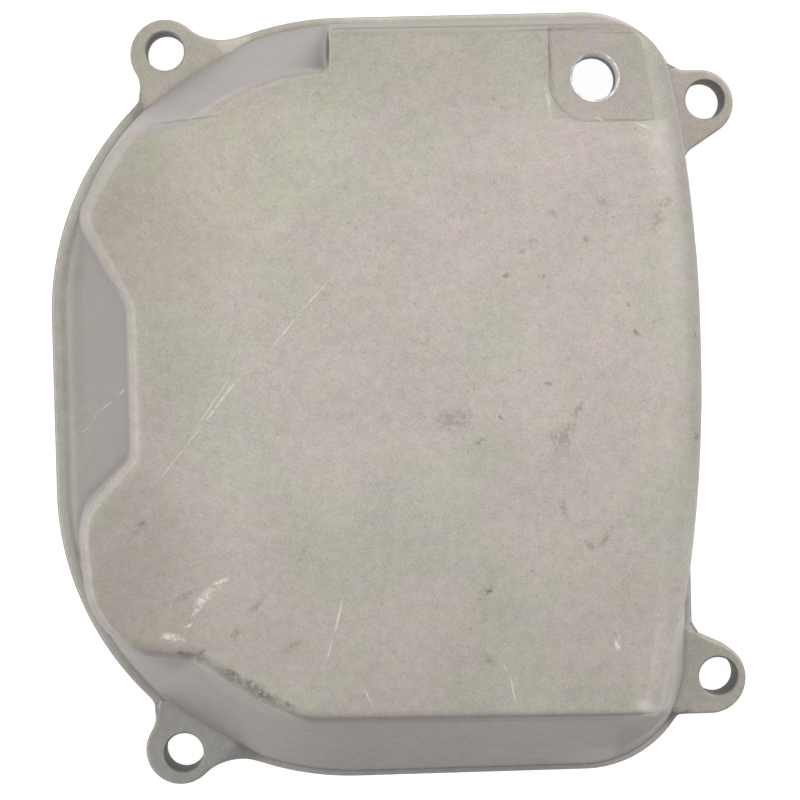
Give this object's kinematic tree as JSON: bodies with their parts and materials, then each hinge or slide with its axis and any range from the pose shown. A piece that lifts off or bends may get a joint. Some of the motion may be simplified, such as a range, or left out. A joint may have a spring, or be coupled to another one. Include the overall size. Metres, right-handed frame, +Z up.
{
  "type": "cylinder head cover",
  "caption": "Cast aluminium cylinder head cover for a small motorcycle engine: open box with rocker bulges, bolt ears and a breather pad.",
  "frame": {"origin": "middle of the footprint, on the gasket face", "axes": "+Z up through the roof, +Y along the longer side towards the breather, +X towards the rounded shoulder"},
  "size_m": [0.1192, 0.1324, 0.036],
  "materials": {
    "cast_aluminium": "fine blasted as-cast surface, weathered grey"
  },
  "bodies": {
    "root": {"head_cover": "cast_aluminium"}
  },
  "joints": []
}
